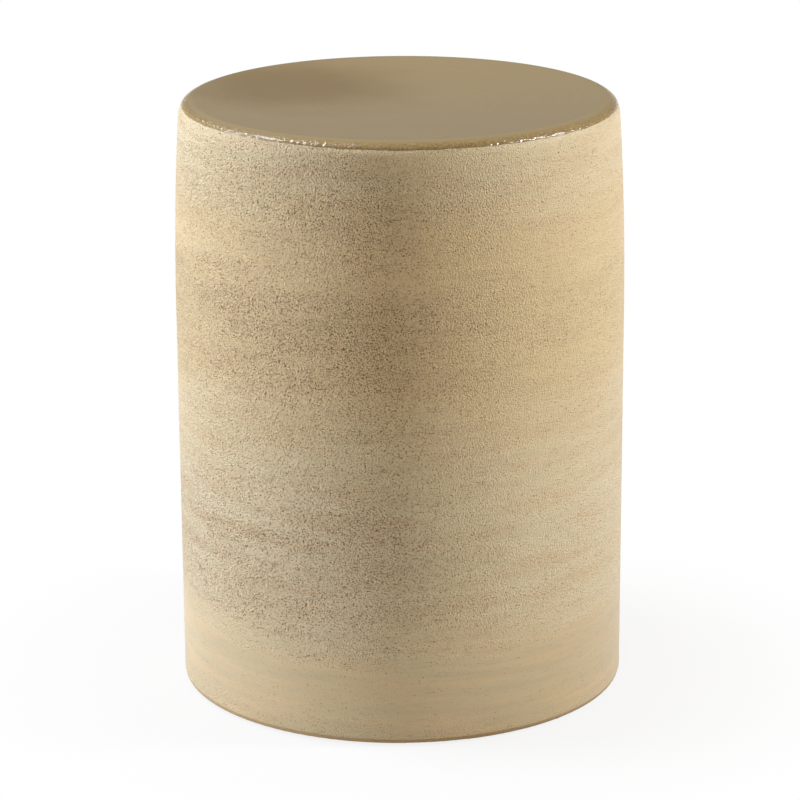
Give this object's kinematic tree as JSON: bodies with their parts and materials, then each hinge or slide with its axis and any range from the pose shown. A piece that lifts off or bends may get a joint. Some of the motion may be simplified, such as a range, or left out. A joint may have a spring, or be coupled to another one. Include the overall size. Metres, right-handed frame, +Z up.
{
  "type": "ceramic garden stool",
  "caption": "Round hollow stoneware drum stool, open below, with a dished glossy glazed seat, a rounded rim and a satin sand-glazed side.",
  "frame": {"origin": "on the floor, at the middle of the stool's footprint, level with the undersides of the rubber pads", "axes": "+Z up along the drum's axis; the stool is round, and its pads lie between the X and Y axes"},
  "size_m": [0.3376, 0.3374, 0.45],
  "materials": {
    "stoneware": "matte",
    "seat_glaze": "gloss",
    "wall_glaze": "satin",
    "pad_rubber": "matte"
  },
  "bodies": {
    "root": {"wall": "stoneware", "seat": "stoneware", "seat_joint_coil": "stoneware", "foot_ring": "stoneware", "seat_glaze": "seat_glaze", "wall_glaze": "wall_glaze", "floor_pad_1": "pad_rubber", "floor_pad_2": "pad_rubber", "floor_pad_3": "pad_rubber", "floor_pad_4": "pad_rubber"}
  },
  "joints": []
}
